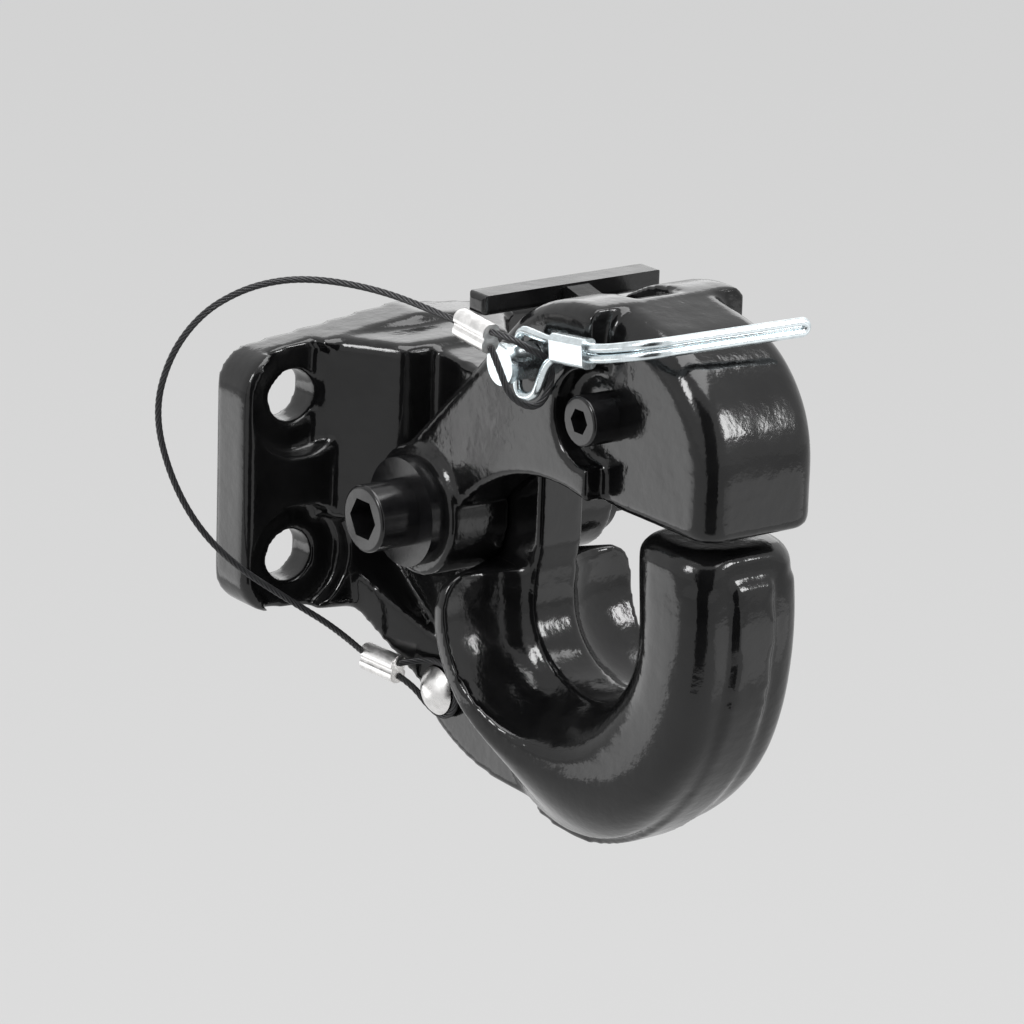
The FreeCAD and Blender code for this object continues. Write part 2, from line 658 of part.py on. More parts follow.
pivot_end = -(s.boss_half + s.washer_thick + s.pivot_head_tall).value
jaw_pivot_screw = break_edges("jaw_pivot_screw", pivot_blank, 1.0, rim_at(pivot_end))
washer_near = cut(
    "washer_near",
    cylinder("washer_near_disc", s.washer_wide, s.washer_thick, s.pivot_x, -s.boss_half, s.pivot_z),
    cylinder("washer_near_bore", s.pivot_shank + 2 * s.run_fit, 20.0, s.pivot_x, -s.boss_half + 5, s.pivot_z),
)
washer_far = cut(
    "washer_far",
    cylinder("washer_far_disc", s.washer_wide, s.washer_thick, s.pivot_x, screw_start, s.pivot_z),
    cylinder("washer_far_bore", s.pivot_shank + 2 * s.run_fit, 20.0, s.pivot_x, screw_start + 5, s.pivot_z),
)
pivot_washers = doc.addObject("Part::Compound", "pivot_washers")
pivot_washers.Links = [washer_near, washer_far]
jaw_pivot_nut = cut(
    "jaw_pivot_nut",
    hexagon("pivot_nut_blank", s.pivot_nut_wide, s.pivot_nut_tall, s.pivot_x, screw_start + s.pivot_nut_tall, s.pivot_z),
    cylinder("pivot_nut_bore", s.pivot_shank + 2 * s.run_fit, 20.0, s.pivot_x, screw_start + 15, s.pivot_z),
)
jaw_pivot_bush = cut(
    "pivot_bush",
    cylinder("pivot_bush_tube", s.pivot_bush_wide, s.web_thick, s.pivot_x, s.web_thick / 2, s.pivot_z),
    cylinder("pivot_bush_bore", s.pivot_shank + 2 * s.run_fit, 20.0, s.pivot_x, 10.0, s.pivot_z),
)

# Lever screw with its nut and the bush that the lever turns on.
lever_end = s.nose_half + s.lever_nut_tall + 1.6
lever_shank = cylinder("lever_shank", s.lever_shank, s.nose_half + lever_end, s.lever_x, lever_end, s.lever_z)
lever_head = cylinder("lever_head", s.lever_head, s.lever_head_tall, s.lever_x, -s.nose_half, s.lever_z)
lever_key = hexagon("lever_key", s.lever_key, 5.0, s.lever_x, -s.nose_half - s.lever_head_tall + 4, s.lever_z)
lever_blank = cut("lever_screw_blank", fuse("lever_screw_stock", [lever_shank, lever_head]), lever_key)
lever_screw = break_edges("lever_screw", lever_blank, 0.8, rim_at(-(s.nose_half + s.lever_head_tall).value))
lever_nut = cut(
    "lever_nut",
    hexagon("lever_nut_blank", s.lever_nut_wide, s.lever_nut_tall, s.lever_x, s.nose_half + s.lever_nut_tall, s.lever_z),
    cylinder("lever_nut_bore", s.lever_shank + 2 * s.run_fit, 20.0, s.lever_x, s.nose_half + 12, s.lever_z),
)
lever_bush = cut(
    "lever_bush",
    cylinder("lever_bush_tube", s.lever_bush_wide, 2 * s.slot_half, s.lever_x, s.slot_half, s.lever_z),
    cylinder("lever_bush_bore", s.lever_shank + 2 * s.run_fit, 30.0, s.lever_x, 15.0, s.lever_z),
)

# Latch lever: a plate between the cheeks, with the toe that stands in front of the
# post's catch face, the arc slot for the pin and the cross bar that lifts it.
lever = doc.addObject("PartDesign::Body", "lock_lever")
slope = math.radians(s.catch_angle.value)
face_x = s.post_front + s.catch_gap * (1 / math.sin(slope))
toe_low = s.catch_low - 1.2
toe_shift = (toe_low - s.catch_low) * (-1 / math.tan(slope))
toe_rise = 9.0
lever_corners = [
    (face_x + toe_shift, toe_low),
    (face_x + toe_shift + 7.5, toe_low),
    (s.lever_x - 16, s.nose_low + 13.4),
    (s.lever_x, s.lever_z - s.lever_hub + 0.4),
    (s.lever_x + 2, s.lever_z + s.lever_hub - 1),
    (s.lever_x - 18, s.lever_z + 19.0),
    (s.handle_x + 5, s.handle_z + 2.4),
    (s.handle_x - 2, s.handle_z - 1.5),
    (s.handle_x + 3, s.handle_z - 9),
    (face_x - (toe_rise - 1.2) / math.tan(slope), s.catch_low + toe_rise - 1.2),
]
lever_plate = pad(lever, "lever_plate", outline(lever, "lever_outline", "XZ_Plane", lever_corners), s.lever_thick)
hub = pad(lever, "lever_hub_pad", circles(
    lever, "lever_hub_circle", "XZ_Plane", [(s.lever_x, s.lever_z, 2 * s.lever_hub)]), s.lever_thick)
bar_corners = [
    (s.handle_x - s.handle_deep / 2, s.handle_z - s.handle_tall / 2),
    (s.handle_x + s.handle_deep / 2, s.handle_z - s.handle_tall / 2),
    (s.handle_x + s.handle_deep / 2, s.handle_z + s.handle_tall / 2),
    (s.handle_x - s.handle_deep / 2, s.handle_z + s.handle_tall / 2),
]
bar = pad(lever, "lever_bar", outline(lever, "bar_outline", "XZ_Plane", bar_corners), 2 * s.handle_half)
bar_round = round_edges(
    lever, "bar_round", bar, 1.6,
    lambda e: abs(middle(e).x - s.handle_x.value) <= s.handle_deep.value / 2 + 0.01
    and abs(middle(e).z - s.handle_z.value) <= s.handle_tall.value / 2 + 0.01
    and abs(middle(e).y) > s.lever_thick.value / 2 + 0.1,
)
lever_bore = pocket(lever, "lever_bore", circles(
    lever, "lever_bore_circle", "XZ_Plane", [(s.lever_x, s.lever_z, s.lever_bush_wide + 2 * s.run_fit)]), 30)


def root(size):
    return Size(math.sqrt(size.value), "sqrt(%s)" % size.text)


# Window that the lever needs round the pin while it lifts: a rectangle whose long side
# lies along the pin's way past the lever.
LEVER_LIFT = math.radians(15.0)
pin_dx = s.pin_x - s.lever_x
pin_dz = s.pin_z - s.lever_z
reach = root(pin_dx * pin_dx + pin_dz * pin_dz)
travel = reach * math.sin(LEVER_LIFT)
drift = reach * (1 - math.cos(LEVER_LIFT))
room = s.pin_wide / 2 + s.window_gap


def beside_pin(outward, along):
    """A point from the pin's centre: outward from the lever's pivot, and along the pin's way."""
    across = s.pin_x + pin_dx / reach * outward - pin_dz / reach * along
    up = s.pin_z + pin_dz / reach * outward + pin_dx / reach * along
    return (across, up)


window_corners = [
    beside_pin(room, -room),
    beside_pin(room, travel + room),
    beside_pin(-room - drift, travel + room),
    beside_pin(-room - drift, -room),
]
window = pocket(lever, "pin_window", outline(lever, "window_outline", "XZ_Plane", window_corners), 30)
lock_lever = lever
doc.recompute()
print("lever", lock_lever.Shape.isValid(), lock_lever.Shape.Volume, len(lock_lever.Shape.Solids))

# Lever spring: a coil round the bush with one leg on the lever and one in the jaw's slot.
coil_pitch = s.spring_wire.value + 0.05
coil_radius = s.spring_radius.value
coil_y = s.lever_thick.value / 2 + s.free_gap.value + s.spring_wire.value / 2
helix = Part.makeHelix(coil_pitch, coil_pitch * s.spring_turns.value, coil_radius)
helix.Placement = FreeCAD.Placement(
    V(s.lever_x.value, coil_y, s.lever_z.value), FreeCAD.Rotation(V(1, 0, 0), -90))
start = helix.Edges[0].valueAt(helix.Edges[0].FirstParameter)
heading = helix.Edges[0].tangentAt(helix.Edges[0].FirstParameter)
profile = Part.Wire([Part.Circle(start, heading, s.spring_wire.value / 2).toShape()])
coil = Part.Wire(helix.Edges).makePipeShell([profile], True, True)
finish = helix.Edges[-1].valueAt(helix.Edges[-1].LastParameter)
leave = helix.Edges[-1].tangentAt(helix.Edges[-1].LastParameter)
legs = [
    Part.makeCylinder(s.spring_wire.value / 2, 10.0, start, V(-heading.x, 0, -heading.z)),
    Part.makeCylinder(s.spring_wire.value / 2, 10.0, finish, V(leave.x, 0, leave.z)),
]
print("spring", coil.isValid(), coil.Volume, start, finish, heading, leave)
lock_spring = solid_feature("lock_spring", coil.fuse(legs))

# Lock pin: shank through both cheeks, head with an upright cross hole, and a flange.
head_y = s.arm_half + 0.4
pin_shank = cylinder("pin_shank", s.pin_wide, head_y + s.pin_tail, s.pin_x, s.pin_tail, s.pin_z)
pin_head = cylinder("pin_head", s.pin_head, s.pin_head_tall, s.pin_x, -head_y, s.pin_z)
pin_flange = cylinder(
    "pin_flange", s.pin_flange, s.pin_flange_tall, s.pin_x, -head_y - s.pin_head_tall, s.pin_z)
cross_y = -(head_y + s.pin_head_tall / 2)
cross_hole = doc.addObject("Part::Cylinder", "cross_hole")
bind(cross_hole, "Radius", s.bail_wire / 2 + 0.25)
bind(cross_hole, "Height", 20.0)
place(cross_hole, s.pin_x, cross_y, s.pin_z - 10)
pin_blank = cut("pin_blank", fuse("pin_stock", [pin_shank, pin_head, pin_flange]), cross_hole)
lock_pin = break_edges("lock_pin", pin_blank, 1.2, rim_at(s.pin_tail.value))


def rope(points, width):
    """A round wire along the points: straight runs joined by tangent arcs."""
    pieces = []
    radii = []
    begin = points[0]
    for i in range(1, len(points) - 1):
        back = points[i - 1] - points[i]
        ahead = points[i + 1] - points[i]
        turn = math.pi - back.getAngle(ahead)
        radius = 0.45 * min(back.Length, ahead.Length) / math.tan(turn / 2)
        setback = radius * math.tan(turn / 2)
        back.normalize()
        ahead.normalize()
        enter = points[i] + back * setback
        leave = points[i] + ahead * setback
        inward = (back + ahead).normalize()
        centre = points[i] + inward * (radius / math.cos(turn / 2))
        middle_point = centre - inward * radius
        pieces.append(Part.LineSegment(begin, enter).toShape())
        pieces.append(Part.Arc(enter, middle_point, leave).toShape())
        radii.append(round(radius, 1))
        begin = leave
    pieces.append(Part.LineSegment(begin, points[-1]).toShape())
    path = Part.Wire(pieces)
    profile = Part.Wire([Part.Circle(points[0], points[1] - points[0], width / 2).toShape()])
    tube = path.makePipeShell([profile], True, False)
    ideal = math.pi * width * width / 4 * path.Length
    print("radii", radii, "length", round(path.Length, 1), "volume", round(tube.Volume / ideal, 4))
    return tube


# Bail: one wire that enters the pin's head from above and below, runs through the
# crimped sleeve and lies across the nose as a double rod.
bx, by, bz = s.pin_x.value, cross_y.value, s.pin_z.value
gap = s.bail_wire.value / 2 + 0.15


def by_pin(x, y, z):
    """A point set off from the eye in the pin's head."""
    return V(bx + x, by + y, bz + z)


BAIL_RUN = [by_pin(15.5, -1.5, 7.8), by_pin(32.0, -1.0, 9.5), by_pin(49.5, 1.3, 14.5), V(bx + 53.5, 18.0, bz + 15.2)]


def bail_side(side):
    points = [V(bx, by, bz + side * 2.0), V(bx, by, bz + side * 8.6)]
    points.append(V(bx + 7.5, by - 0.3, bz + side * 8.2 + 0.6))
    points += [p + V(0, 0, side * gap) for p in BAIL_RUN]
    return points


upper = bail_side(1)
lower = bail_side(-1)
bail_tubes = [rope(upper, s.bail_wire.value), rope(lower, s.bail_wire.value)]
turn_start = upper[-1]
turn_end = lower[-1]
tip_heading = (BAIL_RUN[-1] - BAIL_RUN[-2]).normalize()
bend_arc = Part.Arc(turn_start, (turn_start + turn_end) * 0.5 + tip_heading * gap, turn_end)
bend_profile = Part.Wire([Part.Circle(turn_start, tip_heading, s.bail_wire.value / 2).toShape()])
bend = Part.Wire([bend_arc.toShape()]).makePipeShell([bend_profile], True, True)
pin_bail = solid_feature("pin_bail", bail_tubes[0].fuse([bail_tubes[1], bend]))
print("bail", pin_bail.Shape.isValid(), pin_bail.Shape.Volume, len(pin_bail.Shape.Solids))


def sleeve(name, middle_point, along, long, thick, tall, rounding):
    """A crimped sleeve: a rounded block whose length lies along the wire."""
    box = Part.makeBox(long, thick, tall, V(-long / 2, -thick / 2, -tall / 2))
    box = box.makeFillet(rounding, [e for e in box.Edges if abs(e.BoundBox.XLength - long) < 0.01])
    turn = FreeCAD.Rotation(along, V(0, 1, 0), V(0, 0, 1), "XZY")
    box.Placement = FreeCAD.Placement(middle_point, turn)
    return box


sleeve_along = (BAIL_RUN[1] - BAIL_RUN[0]).normalize()
sleeve_block = sleeve(
    "bail_sleeve", (BAIL_RUN[0] + BAIL_RUN[1]) * 0.5, sleeve_along,
    s.bail_sleeve_long.value - 2, s.bail_sleeve_thick.value, s.bail_sleeve_tall.value, 1.6)
bail_sleeve = solid_feature("bail_sleeve", sleeve_block.cut(pin_bail.Shape))
print("sleeve", bail_sleeve.Shape.isValid(), bail_sleeve.Shape.Volume, len(bail_sleeve.Shape.Solids))

# Tether rivet: shank through the web, dome on the near side, tail on the far side.
face = s.web_thick / 2
rivet_shank = cylinder(
    "rivet_shank", s.rivet_shank, s.web_thick + s.rivet_stand + 1, s.rivet_x, face + 1, s.rivet_z)
rivet_tail = cylinder("rivet_tail", s.rivet_head - 2, 2.2, s.rivet_x, face + 2.2, s.rivet_z)
dome_radius = (s.rivet_head.value ** 2 / 4 + s.rivet_dome.value ** 2) / (2 * s.rivet_dome.value)
dome_y = -(face + s.rivet_stand).value
ball = Part.makeSphere(dome_radius, V(s.rivet_x.value, dome_y - s.rivet_dome.value + dome_radius, s.rivet_z.value))
side = Part.makeBox(60, 60, 60, V(s.rivet_x.value - 30, dome_y - 60, s.rivet_z.value - 30))
rivet_dome = solid_feature("rivet_dome_cap", ball.common(side))
tether_rivet = fuse("tether_rivet", [rivet_shank, rivet_tail, rivet_dome])
doc.recompute()
print("rivet", tether_rivet.Shape.isValid(), tether_rivet.Shape.Volume, len(tether_rivet.Shape.Solids))

# Crimp ferrules on the tether's two ends: flattened sleeves with a crease along both faces.
loop_y = -(face.value + s.rivet_stand.value * 0.55)


def by_rivet(x, y, z):
    """A point set off from the middle of the wire loop under the rivet's head."""
    return V(s.rivet_x.value + x, loop_y + y, s.rivet_z.value + z)


UPPER_START, UPPER_WAY = by_pin(-12.3, -9.1, 8.3), V(13.5, 0, -1.2).normalize()
LOWER_START, LOWER_WAY = by_rivet(-21.0, -9.6, 5.2), V(12.6, 1.4, -0.5).normalize()


def ferrule(start, way):
    long = s.ferrule_long.value
    thick = s.ferrule_thick.value
    tall = s.ferrule_tall.value
    box = Part.makeBox(long, thick, tall, V(0, -thick / 2, -tall / 2))
    box = box.makeFillet(2.2, [e for e in box.Edges if abs(e.BoundBox.XLength - long) < 0.01])
    for side in (-1, 1):
        crease = Part.makeCylinder(1.2, long + 2, V(-1, side * (thick / 2 + 0.75), 0), V(1, 0, 0))
        box = box.cut(crease)
    turn = FreeCAD.Rotation(way, V(0, 1, 0), V(0, 0, 1), "XZY")
    box.Placement = FreeCAD.Placement(start, turn)
    return box.copy()


upper_block = ferrule(UPPER_START, UPPER_WAY)
lower_block = ferrule(LOWER_START, LOWER_WAY)
upper_ferrule = doc.addObject("Part::Feature", "upper_ferrule")
upper_ferrule.Shape = upper_block
lower_ferrule = doc.addObject("Part::Feature", "lower_ferrule")
lower_ferrule.Shape = lower_block

# Wire loops: one through the bail's eye behind the pin's head, one round the rivet.
rope_wide = s.rope_wide.value
upper_end = UPPER_START + UPPER_WAY * s.ferrule_long.value
lower_end = LOWER_START + LOWER_WAY * s.ferrule_long.value
UPPER_LOOP = [
    upper_end + V(0, 0, 1.9), by_pin(7.5, -7.3, 8.6), by_pin(10.6, -4.5, 6.2), by_pin(10.8, 1.3, 3.2),
    by_pin(12.0, 2.1, -1.9), by_pin(10.6, -1.1, -10.0), by_pin(6.6, -7.1, -7.0), by_pin(3.4, -8.3, 0.1),
    upper_end - V(0, 0, 1.9),
]
LOWER_LOOP = [
    lower_end + V(0, 0, 1.7), by_rivet(-4.4, -2.8, 8.0), by_rivet(1.8, 0, 8.0), by_rivet(7.0, 0, 4.2),
    by_rivet(7.4, 0, -3.6), by_rivet(1.6, 0, -7.6), by_rivet(-5.4, 0, -6.2), by_rivet(-9.2, -2.6, -1.0),
    lower_end - V(0, 0, 1.7),
]
upper_loop = solid_feature("upper_loop", rope(UPPER_LOOP, rope_wide))
lower_loop = solid_feature("lower_loop", rope(LOWER_LOOP, rope_wide))

# Tether: one free length of wire rope between the ferrules, bowed out past the plate.
TETHER = [
    UPPER_START - UPPER_WAY * s.free_gap.value, V(69.8, -41.3, 61.8), V(58.0, -46.5, 63.6), V(46.2, -53.5, 64.2), V(38.8, -61.5, 63.6),
    V(31.9, -69.8, 60.2), V(23.4, -76.4, 52.6), V(16.2, -81.0, 40.2), V(11.9, -82.4, 24.4),
    V(11.5, -77.2, 6.3), V(13.9, -69.8, -8.5), V(18.4, -60.2, -19.6), V(20.9, -45.0, -30.6),
    V(22.2, -29.5, -41.5), LOWER_START,
]
tether_cable = solid_feature("tether_cable", rope(TETHER, rope_wide))

NODES = {
    "hook_body": hook_body,
    "upper_jaw": jaw,
    "jaw_pivot_screw": jaw_pivot_screw,
    "jaw_pivot_nut": jaw_pivot_nut,
    "pivot_washers": pivot_washers,
    "pivot_bush": jaw_pivot_bush,
    "lock_lever": lock_lever,
    "lever_screw": lever_screw,
    "lever_nut": lever_nut,
    "lever_bush": lever_bush,
    "lock_spring": lock_spring,
    "lock_pin": lock_pin,
    "pin_bail": pin_bail,
    "bail_sleeve": bail_sleeve,
    "tether_rivet": tether_rivet,
    "upper_loop": upper_loop,
    "lower_loop": lower_loop,
    "upper_ferrule": upper_ferrule,
    "lower_ferrule": lower_ferrule,
    "tether_cable": tether_cable,
}
for label, node in NODES.items():
    node.Label = label
doc.recompute()
for item in doc.Objects:
    if "Invalid" in item.State or "Error" in item.State:
        raise RuntimeError(item.Name + " failed: " + ", ".join(item.State))
for label, node in NODES.items():
    if node.Label != label:
        raise RuntimeError(label + " has the label " + node.Label)
    if node.Shape.isNull() or not node.Shape.isValid() or not node.Shape.Solids:
        raise RuntimeError(label + " has no sound solid")
os.makedirs("parts", exist_ok=True)
for label, node in NODES.items():
    node.Shape.exportStep("parts/%s.step" % label)
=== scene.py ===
import math
import bmesh
import bpy
from mathutils import Matrix, Vector, noise


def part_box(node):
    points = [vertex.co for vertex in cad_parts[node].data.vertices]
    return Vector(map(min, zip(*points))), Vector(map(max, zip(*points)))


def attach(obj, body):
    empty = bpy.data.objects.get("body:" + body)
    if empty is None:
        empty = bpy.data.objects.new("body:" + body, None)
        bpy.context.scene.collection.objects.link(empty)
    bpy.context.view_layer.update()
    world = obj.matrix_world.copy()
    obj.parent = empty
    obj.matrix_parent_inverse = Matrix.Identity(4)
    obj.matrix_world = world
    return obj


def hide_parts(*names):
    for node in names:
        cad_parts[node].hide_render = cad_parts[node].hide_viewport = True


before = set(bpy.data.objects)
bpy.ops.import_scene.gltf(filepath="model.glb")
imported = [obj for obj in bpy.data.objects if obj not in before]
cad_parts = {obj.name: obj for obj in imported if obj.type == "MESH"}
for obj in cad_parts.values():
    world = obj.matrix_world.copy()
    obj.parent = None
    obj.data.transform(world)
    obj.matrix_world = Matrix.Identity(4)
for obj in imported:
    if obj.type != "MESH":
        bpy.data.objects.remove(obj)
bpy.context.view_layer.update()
MM = 0.001

# Camera: a long lens from the front left and above, turned a little about its own axis.
YAW, PITCH, ROLL = math.radians(36.77), math.radians(17.21), math.radians(1.86)
FOCAL, AIM_RIGHT, AIM_UP, DISTANCE = 4867.7, 34.0, -17.85, 1325.15
back = Vector((math.cos(YAW) * math.cos(PITCH), -math.sin(YAW) * math.cos(PITCH), math.sin(PITCH)))
level = Vector((math.sin(YAW), math.cos(YAW), 0.0))
rise = back.cross(level)
right = level * math.cos(ROLL) + rise * math.sin(ROLL)
up = rise * math.cos(ROLL) - level * math.sin(ROLL)
spot = (right * AIM_RIGHT + up * AIM_UP + back * DISTANCE) * MM
camera_data = bpy.data.cameras.new("camera")
camera_data.sensor_width = 36.0
camera_data.lens = FOCAL / 1024 * 36.0
camera_data.clip_start = 0.05
camera_data.clip_end = 50.0
camera = bpy.data.objects.new("camera", camera_data)
camera.matrix_world = Matrix((
    (right.x, up.x, back.x, spot.x),
    (right.y, up.y, back.y, spot.y),
    (right.z, up.z, back.z, spot.z),
    (0.0, 0.0, 0.0, 1.0),
))
bpy.context.collection.objects.link(camera)
scene = bpy.context.scene
scene.camera = camera
scene.view_settings.view_transform = "Standard"


# Helpers: node trees and mesh objects.
def material(name):
    made = bpy.data.materials.new(name)
    made.use_nodes = True
    tree = made.node_tree
    shader = tree.nodes["Principled BSDF"]
    return made, tree, shader


def node(tree, kind, **values):
    made = tree.nodes.new(kind)
    for key, value in values.items():
        if key in made.inputs:
            made.inputs[key].default_value = value
        else:
            setattr(made, key, value)
    return made


def noise_node(tree, scale, detail=4.0, rough=0.5, stretch=None):
    place = tree.nodes.new("ShaderNodeTexCoord")
    made = node(tree, "ShaderNodeTexNoise", Scale=scale, Detail=detail, Roughness=rough)
    if stretch is None:
        tree.links.new(place.outputs["Object"], made.inputs["Vector"])
    else:
        shift = tree.nodes.new("ShaderNodeMapping")
        shift.inputs["Scale"].default_value = stretch
        tree.links.new(place.outputs["Object"], shift.inputs["Vector"])
        tree.links.new(shift.outputs["Vector"], made.inputs["Vector"])
    return made.outputs["Fac"]


def ramp(tree, source, low, high, first, last):
    made = tree.nodes.new("ShaderNodeMapRange")
    made.inputs["From Min"].default_value = low
    made.inputs["From Max"].default_value = high
    made.inputs["To Min"].default_value = first
    made.inputs["To Max"].default_value = last
    tree.links.new(source, made.inputs["Value"])
    return made.outputs["Result"]


def tint(tree, factor, first, last):
    made = tree.nodes.new("ShaderNodeMix")
    made.data_type = "RGBA"
    made.inputs["A"].default_value = (*first, 1.0)
    made.inputs["B"].default_value = (*last, 1.0)
    tree.links.new(factor, made.inputs["Factor"])
    return made.outputs["Result"]


def bump(tree, height, depth, under=None):
    made = tree.nodes.new("ShaderNodeBump")
    made.inputs["Strength"].default_value = 1.0
    made.inputs["Distance"].default_value = depth
    tree.links.new(height, made.inputs["Height"])
    if under is not None:
        tree.links.new(under, made.inputs["Normal"])
    return made.outputs["Normal"]


# Black gloss paint over a casting: soft swells, small lumps and a fine orange peel, with
# the paint a little duller in patches.
def black_paint(name, lump, peel, rough):
    made, tree, shader = material(name)
    patch = ramp(tree, noise_node(tree, 60.0, 5.0, 0.6), 0.35, 0.7, 0.0, 1.0)
    colour = tint(tree, patch, (0.003, 0.003, 0.0032), (0.006, 0.006, 0.0062))
    tree.links.new(colour, shader.inputs["Base Color"])
    tree.links.new(ramp(tree, patch, 0.0, 1.0, rough, rough + 0.10), shader.inputs["Roughness"])
    swell = bump(tree, noise_node(tree, 45.0, 2.0, 0.4), lump * 3.0)
    small = bump(tree, noise_node(tree, 260.0, 3.0, 0.55), lump, swell)
    fine = bump(tree, noise_node(tree, 900.0, 3.0, 0.6), peel, small)
    tree.links.new(fine, shader.inputs["Normal"])
    shader.inputs["IOR"].default_value = 1.5
    return made


paint_cast = black_paint("black_paint_cast", 0.00014, 0.00001, 0.09)
paint_bar = black_paint("black_paint_bar", 0.00010, 0.00001, 0.20)


# Metal, plated or painted thin: one colour with faint clouds and a fine grain.
def plain_steel(name, colour, rough, metal):
    made, tree, shader = material(name)
    cloud = noise_node(tree, 400.0, 4.0, 0.6)
    shade = tuple(c * 0.8 for c in colour)
    clouded = tint(tree, ramp(tree, cloud, 0.35, 0.65, 0.0, 1.0), shade, colour)
    tree.links.new(clouded, shader.inputs["Base Color"])
    tree.links.new(ramp(tree, cloud, 0.3, 0.7, rough * 0.8, rough * 1.25), shader.inputs["Roughness"])
    tree.links.new(bump(tree, noise_node(tree, 1500.0, 3.0, 0.6), 0.00001), shader.inputs["Normal"])
    shader.inputs["Metallic"].default_value = metal
    return made


black_steel = plain_steel("black_steel", (0.006, 0.006, 0.0065), 0.20, 0.0)
bronze = plain_steel("bronze", (0.45, 0.30, 0.16), 0.35, 1.0)
spring_steel = plain_steel("spring_steel", (0.30, 0.30, 0.31), 0.35, 1.0)
zinc = plain_steel("zinc_steel", (0.87, 0.95, 0.98), 0.24, 1.0)
bright = plain_steel("bright_rivet", (0.97, 0.96, 0.95), 0.30, 1.0)
crimp = plain_steel("aluminium_crimp", (0.95, 0.94, 0.93), 0.36, 1.0)
wire = plain_steel("wire_rope", (0.030, 0.030, 0.032), 0.34, 0.3)

FINISH = {
    "hook_body": paint_cast, "upper_jaw": paint_cast, "lock_lever": paint_bar,
    "jaw_pivot_screw": black_steel, "jaw_pivot_nut": black_steel, "pivot_washers": black_steel,
    "lever_screw": black_steel, "lever_nut": black_steel,
    "pivot_bush": bronze, "lever_bush": bronze, "lock_spring": spring_steel,
    "lock_pin": zinc, "pin_bail": zinc, "bail_sleeve": zinc, "tether_rivet": bright,
    "upper_ferrule": crimp, "lower_ferrule": crimp,
    "upper_loop": wire, "lower_loop": wire, "tether_cable": wire,
}
for name, finish in FINISH.items():
    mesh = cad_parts[name].data
    mesh.materials.clear()
    mesh.materials.append(finish)


# Tether: a wire rope on one smooth line, with its strands wound round it.
def V(x, y, z):
    return (x * MM, y * MM, z * MM)


# Middle of the bail's eye and of the loop under the rivet's head, in millimetres.
EYE = (97.0, -28.9, 51.4)
RIVET = (40.0, -8.8, -56.5)
ROPE_WIDE = 1.8 * MM
FERRULE_LONG = 12.8 * MM
FREE_GAP = 0.3 * MM
STRAND_SHARE = 0.36


def by_pin(x, y, z):
    return V(EYE[0] + x, EYE[1] + y, EYE[2] + z)


def by_rivet(x, y, z):
    return V(RIVET[0] + x, RIVET[1] + y, RIVET[2] + z)


UPPER_WAY = Vector((13.5, 0.0, -1.2)).normalized()
LOWER_WAY = Vector((12.6, 1.4, -0.5)).normalized()
UPPER_START = Vector(by_pin(-12.3, -9.1, 8.3))
LOWER_START = Vector(by_rivet(-21.0, -9.6, 5.2))
UPPER_END = UPPER_START + UPPER_WAY * FERRULE_LONG
LOWER_END = LOWER_START + LOWER_WAY * FERRULE_LONG
TETHER = [
    tuple(UPPER_START - UPPER_WAY * FREE_GAP), V(69.8, -41.3, 61.8), V(58.0, -46.5, 63.6),
    V(46.2, -53.5, 64.2), V(38.8, -61.5, 63.6), V(31.9, -69.8, 60.2), V(23.4, -76.4, 52.6),
    V(16.2, -81.0, 40.2), V(11.9, -82.4, 24.4),
    V(11.5, -77.2, 6.3), V(13.9, -69.8, -8.5), V(18.4, -60.2, -19.6), V(20.9, -45.0, -30.6),
    V(22.2, -29.5, -41.5), tuple(LOWER_START),
]
UPPER_LOOP = [
    tuple(UPPER_END + Vector(V(0, 0, 1.9))),
    by_pin(7.5, -7.3, 8.6), by_pin(10.6, -4.5, 6.2), by_pin(10.8, 1.3, 3.2),
    by_pin(12.0, 2.1, -1.9), by_pin(10.6, -1.1, -10.0), by_pin(6.6, -7.1, -7.0), by_pin(3.4, -8.3, 0.1),
    tuple(UPPER_END - Vector(V(0, 0, 1.9))),
]
LOWER_LOOP = [
    tuple(LOWER_END + Vector(V(0, 0, 1.7))),
    by_rivet(-4.4, -2.8, 8.0), by_rivet(1.8, 0, 8.0), by_rivet(7.0, 0, 4.2),
    by_rivet(7.4, 0, -3.6), by_rivet(1.6, 0, -7.6), by_rivet(-5.4, 0, -6.2), by_rivet(-9.2, -2.6, -1.0),
    tuple(LOWER_END - Vector(V(0, 0, 1.7))),
]


def line_of(points):
    """The smooth line that a NURBS spline draws through its control points."""
    curve = bpy.data.curves.new("route", "CURVE")
    curve.dimensions = "3D"
    curve.resolution_u = 24
    spline = curve.splines.new("NURBS")
    spline.points.add(len(points) - 1)
    for point, place in zip(spline.points, points):
        point.co = (*place, 1.0)
    spline.order_u = 3
    spline.use_endpoint_u = True
    made = bpy.data.objects.new("route", curve)
    mesh = bpy.data.meshes.new_from_object(made)
    line = [v.co.copy() for v in mesh.vertices]
    bpy.data.objects.remove(made)
    bpy.data.meshes.remove(mesh)
    return line


